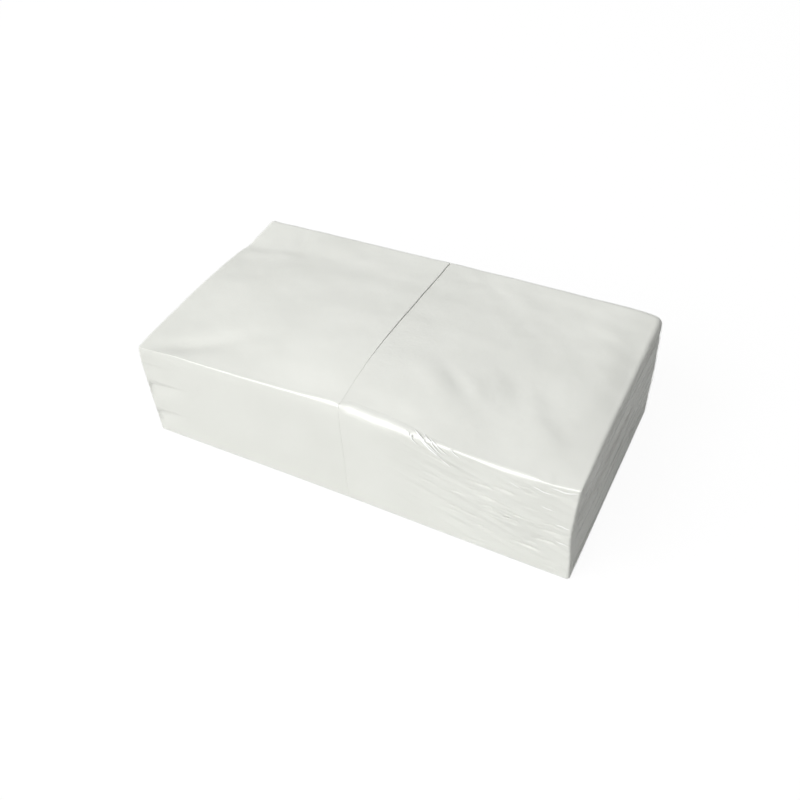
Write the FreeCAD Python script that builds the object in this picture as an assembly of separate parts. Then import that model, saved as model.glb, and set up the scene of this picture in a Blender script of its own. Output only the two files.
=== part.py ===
"""A pack of paper napkins, wrapped in clear film.

Two stacks of napkins lie side by side with a narrow gap between them. Every napkin is folded once
each way, and the napkins of one stack are one solid, whose sides are ridged clump by clump. The
film is drawn tight over both stacks. It laps over itself under the base in a seam, and closes at
each end like an envelope: two side flaps, a base flap over them and a top flap over that.

X runs along the pack, from the left stack to the right one. Y runs from the front to the back.
Z is up. The origin is the middle of the base. Lengths are in millimetres.
"""

import FreeCAD, Part
import math
import os

Vector = FreeCAD.Vector

# One napkin: a thin sheet, folded once each way
sheet_width = 234.8
sheet_depth = 250.4
layer_thickness = 0.078
layers_when_folded = 4
corner_radius = 1.6

# The stacks
napkins_per_stack = 200
napkins_per_clump = 10
clump_groove = 0.3
stack_gap = 0.8

# How far the top stands above its flat height, because folds are springier than cut edges. Each
# line across the pack is given at the front, half-way back and at the back.
left_end_rise = (-2.6, 0.4, -0.6)
left_middle_rise = (0.2, 2.6, 0.6)
gap_rise = (4.0, 6.0, 1.8)
right_middle_rise = (-1.4, 1.8, 2.0)
right_end_rise = (-1.2, -0.8, 0.8)

# How far the tight film draws in the edges
top_edge_radius = 2.4
base_edge_radius = 1.0
facets_per_corner = 2
facets_per_edge = 3

# The film
film_thickness = 0.08
film_clearance = 0.3
seam_overlap = 14.0
flap_overlap = 10.0
side_flap_share = 0.45
flap_margin = 0.6

# How far the surface that cuts the tops reaches past the pack
crown_margin = 5.0

folded_width = sheet_width / 2
folded_depth = sheet_depth / 2
stack_height = layer_thickness * layers_when_folded * napkins_per_stack
stack_base = 2 * film_thickness
stack_centre = (stack_gap + folded_width) / 2
half_length = stack_gap / 2 + folded_width
half_depth = folded_depth / 2
flat_top = stack_base + stack_height


def crown(lift):
    """The crowned surface of the top napkins, a little larger than the pack and raised by a lift."""
    end = half_length + crown_margin
    side = half_depth + crown_margin
    lines = (
        (-end, left_end_rise),
        (-stack_centre, left_middle_rise),
        (0.0, gap_rise),
        (stack_centre, right_middle_rise),
        (end, right_end_rise),
    )
    grid = []
    for x, rises in lines:
        grid.append([Vector(x, y, flat_top + lift + rise) for y, rise in zip((-side, 0.0, side), rises)])
    surface = Part.BSplineSurface()
    surface.interpolate(grid)
    return surface.toShape()


def column(centre_x, half_width, half_depth, radius, base):
    """A tall block with upright corners rounded in flat facets."""
    points = []
    for quarter, (sign_x, sign_y) in enumerate(((1, 1), (-1, 1), (-1, -1), (1, -1))):
        for facet in range(facets_per_corner + 1):
            angle = math.pi / 2 * (quarter + facet / facets_per_corner)
            x = centre_x + sign_x * (half_width - radius) + radius * math.cos(angle)
            y = sign_y * (half_depth - radius) + radius * math.sin(angle)
            points.append(Vector(x, y, base))
    outline = Part.makePolygon([*points, points[0]])
    return Part.Face(outline).extrude(Vector(0, 0, 2 * stack_height))


def level_outline(edges, centre_x, across, along, base, share):
    """The top edges, drawn in across and along, and brought down to a share of their height."""
    outline = []
    for edge in edges:
        curve = edge.Curve.toBSpline(edge.FirstParameter, edge.LastParameter)
        for index, pole in enumerate(curve.getPoles(), 1):
            x = centre_x + (pole.x - centre_x) * across
            curve.setPole(index, Vector(x, pole.y * along, base + (pole.z - base) * share))
        outline.append(curve.toShape())
    return outline


def crowned_block(centre_x, half_width, half_depth, radius, base, lift, levels):
    """A closed block from a flat base to the crown. Its sides join one level to the next.

    Each level is a share of the height and an inset from the sides, from the base to the top.
    """
    top_inset = levels[-1][1]
    top_width = half_width - top_inset
    top_depth = half_depth - top_inset
    top = crown(lift).common(column(centre_x, top_width, top_depth, radius, base)).Faces[0]
    outlines = []
    for share, inset in levels:
        across = (half_width - inset) / top_width
        along = (half_depth - inset) / top_depth
        outlines.append(level_outline(top.OuterWire.Edges, centre_x, across, along, base, share))
    faces = [Part.Face(Part.Wire(outlines[0])), top]
    for lower, upper in zip(outlines, outlines[1:]):
        for lower_edge, upper_edge in zip(lower, upper):
            faces.append(Part.makeRuledSurface(lower_edge, upper_edge))
    shell = Part.makeShell(faces)
    shell.sewShape(1e-4)
    block = Part.Solid(shell.Shells[0])
    if block.Volume < 0:
        block.reverse()
    return block


def base_levels(height, radius):
    """The levels that round the base edge in flat facets, from the base up."""
    levels = []
    for facet in range(facets_per_edge + 1):
        angle = math.pi / 2 * facet / facets_per_edge
        levels.append((radius * (1 - math.cos(angle)) / height, radius * (1 - math.sin(angle))))
    return levels


def top_levels(height, radius):
    """The levels that round the top edge in flat facets, up to the top."""
    return [(1 - share, inset) for share, inset in reversed(base_levels(height, radius))]


def napkin_stack(side):
    """One stack, on the left for side -1 or on the right for side 1."""
    below = base_levels(stack_height, base_edge_radius)
    above = top_levels(stack_height, top_edge_radius)
    half_clumps = round(2 * napkins_per_stack / napkins_per_clump)
    ridges = []
    for index in range(half_clumps + 1):
        share = index / half_clumps
        if below[-1][0] < share < above[0][0]:
            ridges.append((share, clump_groove if index % 2 else 0.0))
    levels = [*below, *ridges, *above]
    half_width = folded_width / 2
    return crowned_block(side * stack_centre, half_width, half_depth, corner_radius, stack_base, 0.0, levels)


def film_block(spread, base):
    """The block that the inside or the outside of the film encloses, spread out from the stacks."""
    height = flat_top + spread - base
    base_radius = base_edge_radius + film_thickness - base
    levels = [*base_levels(height, base_radius), *top_levels(height, top_edge_radius + spread)]
    radius = corner_radius + spread
    return crowned_block(0.0, half_length + spread, half_depth + spread, radius, base, spread, levels)


def end_flap(start, end, reach, layers):
    """A flap on the right end, hinged on a line from start to end and narrowing as it reaches in."""
    wall = half_length + film_clearance + film_thickness / 2
    along = (end - start).normalize()
    inward = Vector(0, -along.z, along.y)
    tip = end + (inward - along) * reach
    heel = start + (inward + along) * reach
    flap = Part.Face(Part.makePolygon([start, end, tip, heel, start]))
    flap.translate(Vector(wall, 0, 0))
    return flap.extrude(Vector(film_thickness * (layers + 0.5), 0, 0))


def end_closure():
    """The four flaps that close the right end, later ones over the earlier ones."""
    low = base_edge_radius + film_thickness + flap_margin
    high = flat_top + min(left_end_rise + right_end_rise) - top_edge_radius - flap_margin
    side = half_depth - corner_radius - flap_margin
    low_front, low_back = Vector(0, -side, low), Vector(0, side, low)
    high_front, high_back = Vector(0, -side, high), Vector(0, side, high)
    side_reach = side_flap_share * (high - low)
    reach = (high - low + flap_overlap) / 2
    front_flap = end_flap(high_front, low_front, side_reach, 1)
    back_flap = end_flap(low_back, high_back, side_reach, 1)
    base_flap = end_flap(low_front, low_back, reach, 2)
    top_flap = end_flap(high_back, high_front, reach, 3)
    return front_flap.multiFuse([back_flap, base_flap, top_flap])


def film_wrap():
    """The film round both stacks, with its base seam and its end flaps."""
    outside = film_block(film_clearance + film_thickness, 0.0)
    inside = film_block(film_clearance, film_thickness)
    inset = base_edge_radius + film_thickness
    corner = Vector(inset - half_length, -seam_overlap / 2, film_thickness / 2)
    seam = Part.makeBox(2 * (half_length - inset), seam_overlap, 1.5 * film_thickness, corner)
    closure = end_closure()
    other_closure = closure.mirror(Vector(0, 0, 0), Vector(1, 0, 0))
    return outside.cut(inside).multiFuse([seam, closure, other_closure])


os.makedirs("parts", exist_ok=True)
napkin_stack(-1).exportStep("parts/napkin_stack_left.step")
napkin_stack(1).exportStep("parts/napkin_stack_right.step")
film_wrap().exportStep("parts/film_wrap.step")
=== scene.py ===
"""A pack of folded paper napkins, two stacks side by side in one wrapper of clear film.

Sizes are in millimetres until a mesh is made. X runs along the pack, Y from its front to its back,
and Z up from the surface it lies on.
"""

import logging
import math
from dataclasses import dataclass
from enum import Enum
from typing import Any, Iterable, Sequence

import bpy
import numpy as np
from mathutils import Matrix


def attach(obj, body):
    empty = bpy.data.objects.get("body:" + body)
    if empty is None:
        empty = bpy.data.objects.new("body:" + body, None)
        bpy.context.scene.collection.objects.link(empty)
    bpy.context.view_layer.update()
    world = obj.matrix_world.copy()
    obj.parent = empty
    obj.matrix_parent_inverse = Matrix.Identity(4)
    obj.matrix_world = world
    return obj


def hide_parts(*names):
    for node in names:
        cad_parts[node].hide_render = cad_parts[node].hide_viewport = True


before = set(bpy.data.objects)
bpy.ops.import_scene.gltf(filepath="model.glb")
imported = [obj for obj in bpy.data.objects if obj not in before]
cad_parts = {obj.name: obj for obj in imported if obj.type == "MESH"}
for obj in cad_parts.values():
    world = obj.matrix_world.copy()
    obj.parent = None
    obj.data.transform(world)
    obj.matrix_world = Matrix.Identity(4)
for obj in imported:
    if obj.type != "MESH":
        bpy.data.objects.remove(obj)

LOG = logging.getLogger("napkin_pack")
MILLIMETRE = 0.001
UP = np.array([0.0, 0.0, 1.0])
HALF_GAP = 0.4


class Side(Enum):
    """The faces of the pack, each with the axes that lie in it."""

    TOP = (1.0, 1.0, 0.0)
    FRONT = (1.0, 0.0, 1.0)
    RIGHT_END = (0.0, 1.0, 1.0)


class Fold(Enum):
    """Which way a crease stands."""

    RIDGE = 1.0
    GROOVE = -1.0


# Numbers in node trees


class Value:
    """A socket in a node tree that Python's own arithmetic works on."""

    def __init__(self, maker: "NodeMaker", socket: bpy.types.NodeSocket) -> None:
        """Wraps a socket of the maker's tree."""
        self.maker = maker
        self.socket = socket

    def math(self, operation: str, *others: Any) -> "Value":
        """A Math node on this value and the others."""
        return self.maker.add("ShaderNodeMath", {"operation": operation}, [self, *others])

    def __add__(self, other: Any) -> "Value":
        """The sum."""
        return self.math("ADD", other)

    __radd__ = __add__

    def __sub__(self, other: Any) -> "Value":
        """The difference."""
        return self.math("SUBTRACT", other)

    def __rsub__(self, other: Any) -> "Value":
        """The difference, from a number."""
        return self.maker.add("ShaderNodeMath", {"operation": "SUBTRACT"}, [other, self])

    def __mul__(self, other: Any) -> "Value":
        """The product."""
        return self.math("MULTIPLY", other)

    __rmul__ = __mul__

    def __truediv__(self, other: Any) -> "Value":
        """The quotient."""
        return self.math("DIVIDE", other)

    def clamped(self) -> "Value":
        """The value, held between 0 and 1."""
        return self.maker.add("ShaderNodeMath", {"operation": "ADD", "use_clamp": True}, [self, 0.0])


class NodeMaker:
    """Adds nodes to one tree."""

    def __init__(self, tree: bpy.types.NodeTree) -> None:
        """Starts on a tree, which it empties."""
        self.tree = tree
        tree.nodes.clear()

    def add(self, kind: str, settings: dict | None = None, inputs: Any = None, output: Any = 0) -> Value:
        """Adds a node.

        Args:
            kind: the node's type.
            settings: its properties, which are set first.
            inputs: numbers, tuples or values, in a list by order or in a dict by name or index.
            output: the name or index of the output to give back.

        Returns:
            The output as a value. A node without outputs gives back its first input.
        """
        node = self.tree.nodes.new(kind)
        for name, setting in (settings or {}).items():
            setattr(node, name, setting)
        pairs = inputs.items() if isinstance(inputs, dict) else enumerate(inputs or [])
        for key, item in pairs:
            if isinstance(item, Value):
                self.tree.links.new(item.socket, node.inputs[key])
            else:
                node.inputs[key].default_value = item
        sockets = node.outputs if len(node.outputs) else node.inputs
        return Value(self, sockets[output])

    def vector(self, operation: str, *items: Any, output: Any = 0) -> Value:
        """A Vector Math node."""
        return self.add("ShaderNodeVectorMath", {"operation": operation}, list(items), output)

    def smooth_step(
        self, value: Value, low: float, high: float, start: float = 0.0, end: float = 1.0
    ) -> Value:
        """A soft step of the value, from start at low to end at high."""
        settings = {"interpolation_type": "SMOOTHSTEP"}
        return self.add("ShaderNodeMapRange", settings, [value, low, high, start, end])

    def noise(
        self, place: Value, cells: Sequence[float] | None, detail: float = 2.0, roughness: float = 0.5
    ) -> Value:
        """A noise between 0 and 1.

        Args:
            place: where it is asked.
            cells: how many cells lie in one unit along each axis, or None for one cell.
            detail: how many finer noises are added.
            roughness: how much each of them counts.

        Returns:
            The noise at the place.
        """
        if cells:
            place = self.add("ShaderNodeMapping", {}, {"Vector": place, "Scale": cells})
        inputs = {"Vector": place, "Scale": 1.0, "Detail": detail, "Roughness": roughness}
        return self.add("ShaderNodeTexNoise", {}, inputs)

    def bump(self, height: Value, strength: float = 1.0, distance: float = 1.0) -> Value:
        """A surface that stands up by a height."""
        inputs = {"Strength": strength, "Distance": distance, "Height": height}
        return self.add("ShaderNodeBump", {}, inputs)

    def between(self, share: Value, first: Sequence[float], second: Sequence[float]) -> Value:
        """A colour between two colours."""
        inputs = {0: share, 6: (*first, 1), 7: (*second, 1)}
        return self.add("ShaderNodeMix", {"data_type": "RGBA"}, inputs, 2)

    def apart(self, vector: Value) -> list[Value]:
        """The three parts of a vector."""
        node = self.add("ShaderNodeSeparateXYZ", {}, [vector]).socket.node
        return [Value(self, socket) for socket in node.outputs]


# The shape of the pack


def soft_step(value: np.ndarray, low: float, high: float) -> np.ndarray:
    """A smooth step from 0 at low to 1 at high, which may lie below low."""
    share = np.clip((value - low) / (high - low), 0, 1)
    return share * share * (3 - 2 * share)


def soft_noise(points: np.ndarray, seed: int) -> np.ndarray:
    """Smooth noise from -1 to 1, whose cells are one unit wide.

    Args:
        points: the places, a row each, in cells.
        seed: picks the pattern.

    Returns:
        One number for each place.
    """
    table = np.random.default_rng(seed).uniform(-1, 1, 4096)
    low = np.floor(points).astype(np.int64)
    part = points - low
    part = part * part * (3 - 2 * part)
    total = np.zeros(len(points))
    for corner in range(8):
        step = np.array([corner & 1, corner >> 1 & 1, corner >> 2 & 1])
        cell = low + step
        code = (cell[:, 0] * 73856093) ^ (cell[:, 1] * 19349663) ^ (cell[:, 2] * 83492791)
        weight = np.prod(np.where(step, part, 1 - part), axis=1)
        total += weight * table[code % 4096]
    return total


def drawn_lines(
    along: np.ndarray, across: np.ndarray, length: float, height: float, seed: int, row: float = 0.0
) -> np.ndarray:
    """Smooth noise drawn out into lines, whose cells have a length and a height."""
    cells = np.column_stack([along / length, across / height, np.full(len(along), row)])
    return soft_noise(cells, seed)


def turned(x: np.ndarray, y: np.ndarray, degrees: float) -> tuple[np.ndarray, np.ndarray]:
    """Measures places along and across a line that rises at an angle."""
    turn = math.radians(degrees)
    return x * math.cos(turn) + y * math.sin(turn), y * math.cos(turn) - x * math.sin(turn)


def curve_weights(knots: Sequence[float], at: np.ndarray) -> np.ndarray:
    """How much each knot counts at each place, on a smooth curve through the knots.

    Args:
        knots: where the knots are, in order.
        at: the places, which are held between the first knot and the last.

    Returns:
        A row of weights for each place, with one weight for each knot.
    """
    knots = np.asarray(knots, float)
    count = len(knots)
    own = np.eye(count)
    slopes = np.zeros((count, count))
    for index in range(count):
        before, after = max(index - 1, 0), min(index + 1, count - 1)
        slopes[index] = (own[after] - own[before]) / (knots[after] - knots[before])
    at = np.clip(at, knots[0], knots[-1])
    cell = np.clip(np.searchsorted(knots, at, side="right") - 1, 0, count - 2)
    width = (knots[cell + 1] - knots[cell])[:, None]
    t = (at - knots[cell])[:, None] / width
    weights = (1 + 2 * t) * (1 - t) ** 2 * own[cell] + t * t * (3 - 2 * t) * own[cell + 1]
    weights += t * (1 - t) ** 2 * width * slopes[cell] + t * t * (t - 1) * width * slopes[cell + 1]
    return weights


@dataclass(frozen=True)
class Swell:
    """A soft rise of the top, or a hollow where its height is below zero.

    It is centred on x and y. Its half sizes are along and across a line at an angle to the pack.
    """

    x: float
    y: float
    along: float
    across: float
    angle: float
    height: float

    def lift(self, x: np.ndarray, y: np.ndarray) -> np.ndarray:
        """How far it lifts the top at each place."""
        along, across = turned(x - self.x, y - self.y, self.angle)
        return self.height * np.exp(-((along / self.along) ** 2) - (across / self.across) ** 2)


@dataclass(frozen=True)
class Crease:
    """A narrow fold line in the film, which may fade from its start."""

    side: Side
    start: tuple[float, float, float]
    end: tuple[float, float, float]
    width: float
    depth: float
    fold: Fold = Fold.GROOVE
    fades: bool = True

    def height(self, maker: NodeMaker, place: Value) -> Value:
        """Its height in metres, as nodes.

        Args:
            maker: adds the nodes.
            place: the place on the surface, in metres.

        Returns:
            The height at the place.
        """
        flat = self.side.value
        start = tuple(a * b * MILLIMETRE for a, b in zip(self.start, flat))
        run = tuple((b - a) * c * MILLIMETRE for a, b, c in zip(self.start, self.end, flat))
        length = math.dist((0, 0, 0), run)
        offset = maker.vector("SUBTRACT", maker.vector("MULTIPLY", place, flat), start)
        reach = (maker.vector("DOT_PRODUCT", offset, run, output="Value") / length**2).clamped()
        step = maker.add("ShaderNodeVectorMath", {"operation": "SCALE"}, {0: run, "Scale": reach})
        gap = maker.vector("DISTANCE", offset, step, output="Value")
        peak = self.depth * self.fold.value * MILLIMETRE
        height = maker.smooth_step(gap, 0.0, self.width * MILLIMETRE, peak, 0.0)
        return height * (1 - reach) if self.fades else height


@dataclass(frozen=True)
class Tuck:
    """A wedge of film and napkins drawn in on the front, tall at the left corner and pointed inwards.

    Below its height the wall first falls in over the wedge, and then rises out again.
    """

    height: float
    tall: float
    reach: float
    depth: float
    tip: float = 0.3
    rise: float = 6.5
    start: tuple[float, float] = (0.3, 2.5)

    def depth_at(self, inward: np.ndarray, z: np.ndarray) -> np.ndarray:
        """How deep it is.

        Args:
            inward: how far the places are from the corner.
            z: how high they are.

        Returns:
            The depth at each place.
        """
        taper = np.clip(1 - inward / self.reach, 0, 1)
        below = self.height - z
        drop = self.tall * taper + self.tip
        falling = np.clip(below / drop, 0, 1)
        rising = np.exp(-((np.clip(below - drop, 0, None) / self.rise) ** 2))
        return self.depth * taper**0.7 * soft_step(inward, *self.start) * falling * rising


LEFT_TUCKS = (Tuck(50.3, 1.4, 18, 0.35), Tuck(38.5, 5.0, 24, 1.25), Tuck(17.5, 4.0, 19, 1.1))


# Where the parts of the pack and its walls begin, and where they count in full
RIGHT_PART, LEFT_PART, FRONT_PART = (60, 118), (-60, -118), (10, -62)
RIGHT_WALL, LEFT_WALL = (20, 60), (-20, -60)


@dataclass(frozen=True)
class Lean:
    """How far a part of the walls stands away from a true box, at some shares of the height."""

    part_x: tuple[float, float]
    part_y: tuple[float, float]
    shares: tuple[float, ...]
    offsets: tuple[float, ...]

    def offset(self, x: np.ndarray, y: np.ndarray, up: np.ndarray) -> np.ndarray:
        """The offset at each place, where up is its share of the height."""
        part = soft_step(x, *self.part_x) * soft_step(y, *self.part_y)
        return part * np.interp(up, self.shares, self.offsets)


@dataclass(frozen=True)
class Openings:
    """Narrow openings between napkins, in patches. A line and a patch have a length and a height."""

    depth: float
    width: float
    line: tuple[float, float]
    patch: tuple[float, float]
    patch_edge: tuple[float, float]
    seed: int

    def depth_at(self, along: np.ndarray, across: np.ndarray, more: Any = 0.0) -> np.ndarray:
        """How deep they are.

        Args:
            along: where the places are along the lines.
            across: where they are across them.
            more: how much larger the patches are at each place.

        Returns:
            The depth at each place.
        """
        lines = drawn_lines(along, across, *self.line, self.seed)
        patches = drawn_lines(along, across, *self.patch, self.seed + 1, 3) + more
        return self.depth * np.exp(-((lines / self.width) ** 2)) * soft_step(patches, *self.patch_edge)


END_OPENINGS = Openings(2.2, 0.15, (55, 4.2), (40, 7.0), (-0.2, 0.3), 16)
FRONT_OPENINGS = Openings(0.95, 0.14, (15, 2.6), (9, 3.0), (0, 0.4), 18)


@dataclass(frozen=True)
class WallGrain:
    """The lines between the napkins: slopes in degrees, lengths and heights, and depths."""

    slope: float = -17.0
    front_line: tuple[float, float] = (34.0, 2.6)
    end_line: tuple[float, float] = (60.0, 2.4)
    front_depth: float = 0.36
    right_depth: float = 0.6
    left_depth: float = 0.12
    fine_share: float = 0.6
    quiet_corner: tuple[float, float] = (62.5, 54.0)
    opening_slope: float = -12.0

    def lines(
        self, along: np.ndarray, across: np.ndarray, size: tuple[float, float], seed: int
    ) -> np.ndarray:
        """Lines of a length and a height, with finer ones of half that size between them.

        Args:
            along: where the places are along the lines.
            across: where they are across them.
            size: how long and how high a line is.
            seed: picks the pattern, and the next seed picks the finer one.

        Returns:
            How far each place stands out.
        """
        length, height = size
        fine = drawn_lines(along, across, length / 2, height / 2, seed + 1)
        return drawn_lines(along, across, length, height, seed) + self.fine_share * fine


@dataclass(frozen=True)
class PackShape:
    """The outer form that the stacks and the film share.

    The net holds the height of the top, with a row for each of net_y and a number for each of
    net_x. The top is uneven in cells of the size of dent, and in finer ones. Each of the dents
    says how much finer its cells are, how deep it is, and which seed it takes.
    """

    half_length: float = 118.05
    half_depth: float = 62.85
    net_x: tuple[float, ...] = (-118, -100, -60, -23, 0, 28, 60, 90, 105, 118)
    net_y: tuple[float, ...] = (-62, -34, -5, 25, 36, 48, 62)
    net: tuple[tuple[float, ...], ...] = (
        (60.3, 61.4, 61.9, 63.2, 64.3, 62.4, 60.6, 59.8, 60.2, 61.8),
        (62.4, 62.8, 65.0, 67.4, 68.0, 67.0, 64.2, 61.9, 61.0, 60.6),
        (64.0, 64.1, 65.8, 67.5, 68.2, 67.3, 65.2, 63.0, 61.8, 60.0),
        (63.0, 63.2, 64.8, 66.2, 66.9, 66.3, 64.9, 63.7, 63.0, 60.8),
        (61.4, 62.2, 63.8, 65.2, 66.0, 65.5, 64.5, 63.6, 63.1, 61.7),
        (62.2, 62.7, 63.8, 64.7, 65.3, 65.0, 64.6, 64.1, 63.8, 62.6),
        (62.9, 63.2, 63.7, 64.2, 64.7, 64.7, 64.9, 64.9, 64.8, 63.6),
    )
    swells: tuple[Swell, ...] = (
        Swell(-86, 50, 11, 4.0, -71, -0.8),
        Swell(-92, 33, 28, 4.0, 8, 0.4),
        Swell(-90, 26, 26, 5.0, 8, -0.2),
        Swell(-98, -54, 17, 5.0, 26, -1.4),
        Swell(-80, -45.5, 22, 6.5, 30, -1.1),
        Swell(-30, -50, 30, 8.0, 10, 0.4),
        Swell(-24, 20, 16, 9.0, 40, -0.5),
        Swell(-10, 45, 14, 8.0, 70, -0.4),
        Swell(45.5, -26.5, 15, 3.4, -36, -0.5),
        Swell(38, -32, 13, 5.5, -38, 0.45),
        Swell(54.5, -27.5, 9, 4.5, -50, 0.4),
        Swell(68, -13, 15, 6.5, -58, -0.4),
        Swell(78, -26, 13, 5.0, -52, -0.35),
        Swell(90, -24, 16, 6.0, -54, -0.45),
        Swell(92, -38, 24, 8.0, -50, 0.4),
        Swell(109, -44, 16, 6.0, -60, -0.2),
        Swell(20, 53, 5, 3.0, -70, 0.3),
        Swell(32, 50, 9, 3.4, -60, -0.22),
        Swell(46, 47, 14, 6.0, -30, 0.3),
        Swell(84, 47, 5.5, 5.5, 0, -0.55),
        Swell(84, 47, 2.2, 2.2, 0, 0.3),
        Swell(98, 40, 14, 4.0, -20, 0.35),
    )
    dent: tuple[float, float] = (21, 13)
    dents: tuple[tuple[float, float, int], ...] = ((1.0, 0.2, 0), (2.3, 0.13, 1), (5.1, 0.04, 6))
    wall: float = 62.0
    leans_across: tuple[Lean, ...] = (
        Lean(LEFT_PART, FRONT_PART, (0, 0.4, 0.8, 1), (-2.4, -2.7, -2.6, -1.3)),
        Lean(RIGHT_PART, (-10, -62), (0, 0.2, 0.5, 0.8, 1), (0.3, 0.2, -0.9, 0.3, 1.2)),
        Lean(RIGHT_PART, (-30, 40), (0, 0.35), (-0.3, 0)),
        Lean(RIGHT_PART, (20, 60), (0, 0.5), (-0.3, 0.4)),
    )
    front_lean: Lean = Lean((-60, 118), FRONT_PART, (0, 1), (-1.1, -0.5))
    grain: WallGrain = WallGrain()
    seed: int = 7

    def top(self, x: np.ndarray, y: np.ndarray) -> np.ndarray:
        """The height of the top.

        Args:
            x: the places along the pack.
            y: the same from its front to its back.

        Returns:
            The height at each place.
        """
        weights_x, weights_y = curve_weights(self.net_x, x), curve_weights(self.net_y, y)
        height = np.einsum("pj,ji,pi->p", weights_y, np.array(self.net), weights_x)
        for swell in self.swells:
            height = height + swell.lift(x, y)
        cells = np.column_stack([x / self.dent[0], y / self.dent[1], np.zeros_like(x)])
        for finer, depth, seed in self.dents:
            height = height + depth * soft_noise(cells * finer, self.seed + seed)
        return height

    def lean(self, points: np.ndarray) -> np.ndarray:
        """How far the corners and walls stand away from a true box.

        Args:
            points: the points, a row each.

        Returns:
            The offset of each point.
        """
        x, y, z = points.T
        up, front = np.clip(z / self.wall, 0, 1), soft_step(y, *FRONT_PART)
        across = sum(lean.offset(x, y, up) for lean in self.leans_across)
        middle = np.exp(-(((x - 5) / 75) ** 2)) * np.interp(up, (0, 1), (0.3, 0.6))
        flare = 0.7 * np.clip((z - 54) / 8, 0, 1.2) ** 2
        along = self.front_lean.offset(x, y, up) + front * (middle + flare)
        return np.column_stack([across, along, np.zeros_like(x)])

    def sag(self, points: np.ndarray, out: np.ndarray) -> np.ndarray:
        """How far the sides stand out, or in where it is below zero.

        Args:
            points: the points, a row each.
            out: their outward directions.

        Returns:
            The distance at each point.
        """
        x, y, z = points.T
        grain, seed = self.grain, self.seed
        low, high = soft_step(z, 0, 6), soft_step(z, 64, 56)
        along, across = turned(x, z, grain.slope)
        front = np.clip(-out[:, 1], 0, 1)
        right = np.clip(out[:, 0], 0, 1) * soft_step(x, *RIGHT_WALL)
        left = np.clip(-out[:, 0], 0, 1) * soft_step(x, *LEFT_WALL)
        loose = soft_step(x, 5, 80)
        sag = front * loose * grain.front_depth * grain.lines(along, across, grain.front_line, seed + 2)
        for tuck in LEFT_TUCKS:
            sag -= front * tuck.depth_at(x + self.half_length, z)
        depth = right * grain.right_depth + left * grain.left_depth
        ends = grain.lines(y, z, grain.end_line, seed + 4)
        sag += depth * ends * soft_step(np.abs(y), *grain.quiet_corner)
        return sag * (low * high)

    def openings(self, points: np.ndarray, out: np.ndarray) -> np.ndarray:
        """How deep the narrow openings between napkins are, at the right end and the front beside it.

        Args:
            points: the points, a row each.
            out: their outward directions.

        Returns:
            The depth at each point.
        """
        x, y, z = points.T
        right = np.clip(out[:, 0], 0, 1) * soft_step(x, *RIGHT_WALL)
        front = np.clip(-out[:, 1], 0, 1) * soft_step(x, 25, 95) * soft_step(x, 117, 108)
        deep = right * END_OPENINGS.depth_at(y, z, 0.5 * soft_step(z, 40, 26))
        deep = deep * soft_step(np.abs(y), *self.grain.quiet_corner)
        deep += front * FRONT_OPENINGS.depth_at(*turned(x, z, self.grain.opening_slope))
        return deep * soft_step(z, 1, 5) * soft_step(z, 61, 56)

    @staticmethod
    def closing(y: np.ndarray, z: np.ndarray) -> np.ndarray:
        """How far each stack leans over the gap, which it closes at the front."""
        at_front = soft_step(y, -40, -60) * np.interp(z, *GAP_FRONT_LEAN)
        return np.maximum(np.interp(y, *GAP_LEAN), at_front)


# The radius of the top edge, as places and radii: along the front, the ends and the gap
FRONT_EDGE = (
    (-118, -104, -97, -90, -60, -20, -3, -0.5, 4, 24, 36, 46, 60, 74, 92, 98, 101, 118),
    (0.1, 0.12, 0.2, 0.4, 0.75, 1.2, 2.4, 1.4, 4.4, 4.8, 3.6, 1.7, 1.2, 1.8, 2.2, 2.0, 0.7, 0.7),
)
END_EDGE = ((-62, -30, 62), (0.8, 1.8, 3.4))
GAP_EDGE = ((-52, -30, 20), (0.04, 0.12, 0.3))
BACK_EDGE = 2.2

# How far each stack leans over the gap, from front to back and up the front
GAP_LEAN = ((-52, -42, -30, -12, 10), (0.4, 0.385, 0.34, 0.2, 0.12))
GAP_FRONT_LEAN = ((34, 42, 54, 58), (0.4, 0.385, 0.38, 0.4))


@dataclass
class Lattice:
    """A closed net of four-sided faces round a block."""

    points: np.ndarray
    faces: np.ndarray
    out: np.ndarray
    share: np.ndarray

    def mesh(self, name: str) -> bpy.types.Mesh:
        """Makes the mesh, in metres, with smooth shading.

        Args:
            name: the name of the mesh.

        Returns:
            The mesh.
        """
        mesh = bpy.data.meshes.new(name)
        mesh.vertices.add(len(self.points))
        mesh.vertices.foreach_set("co", (self.points * MILLIMETRE).astype(np.float32).ravel())
        mesh.loops.add(self.faces.size)
        mesh.loops.foreach_set("vertex_index", self.faces.astype(np.int32).ravel())
        mesh.polygons.add(len(self.faces))
        mesh.polygons.foreach_set("loop_start", np.arange(0, self.faces.size, 4, dtype=np.int32))
        mesh.update(calc_edges=True)
        mesh.validate()
        mesh.shade_smooth()
        return mesh


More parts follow.
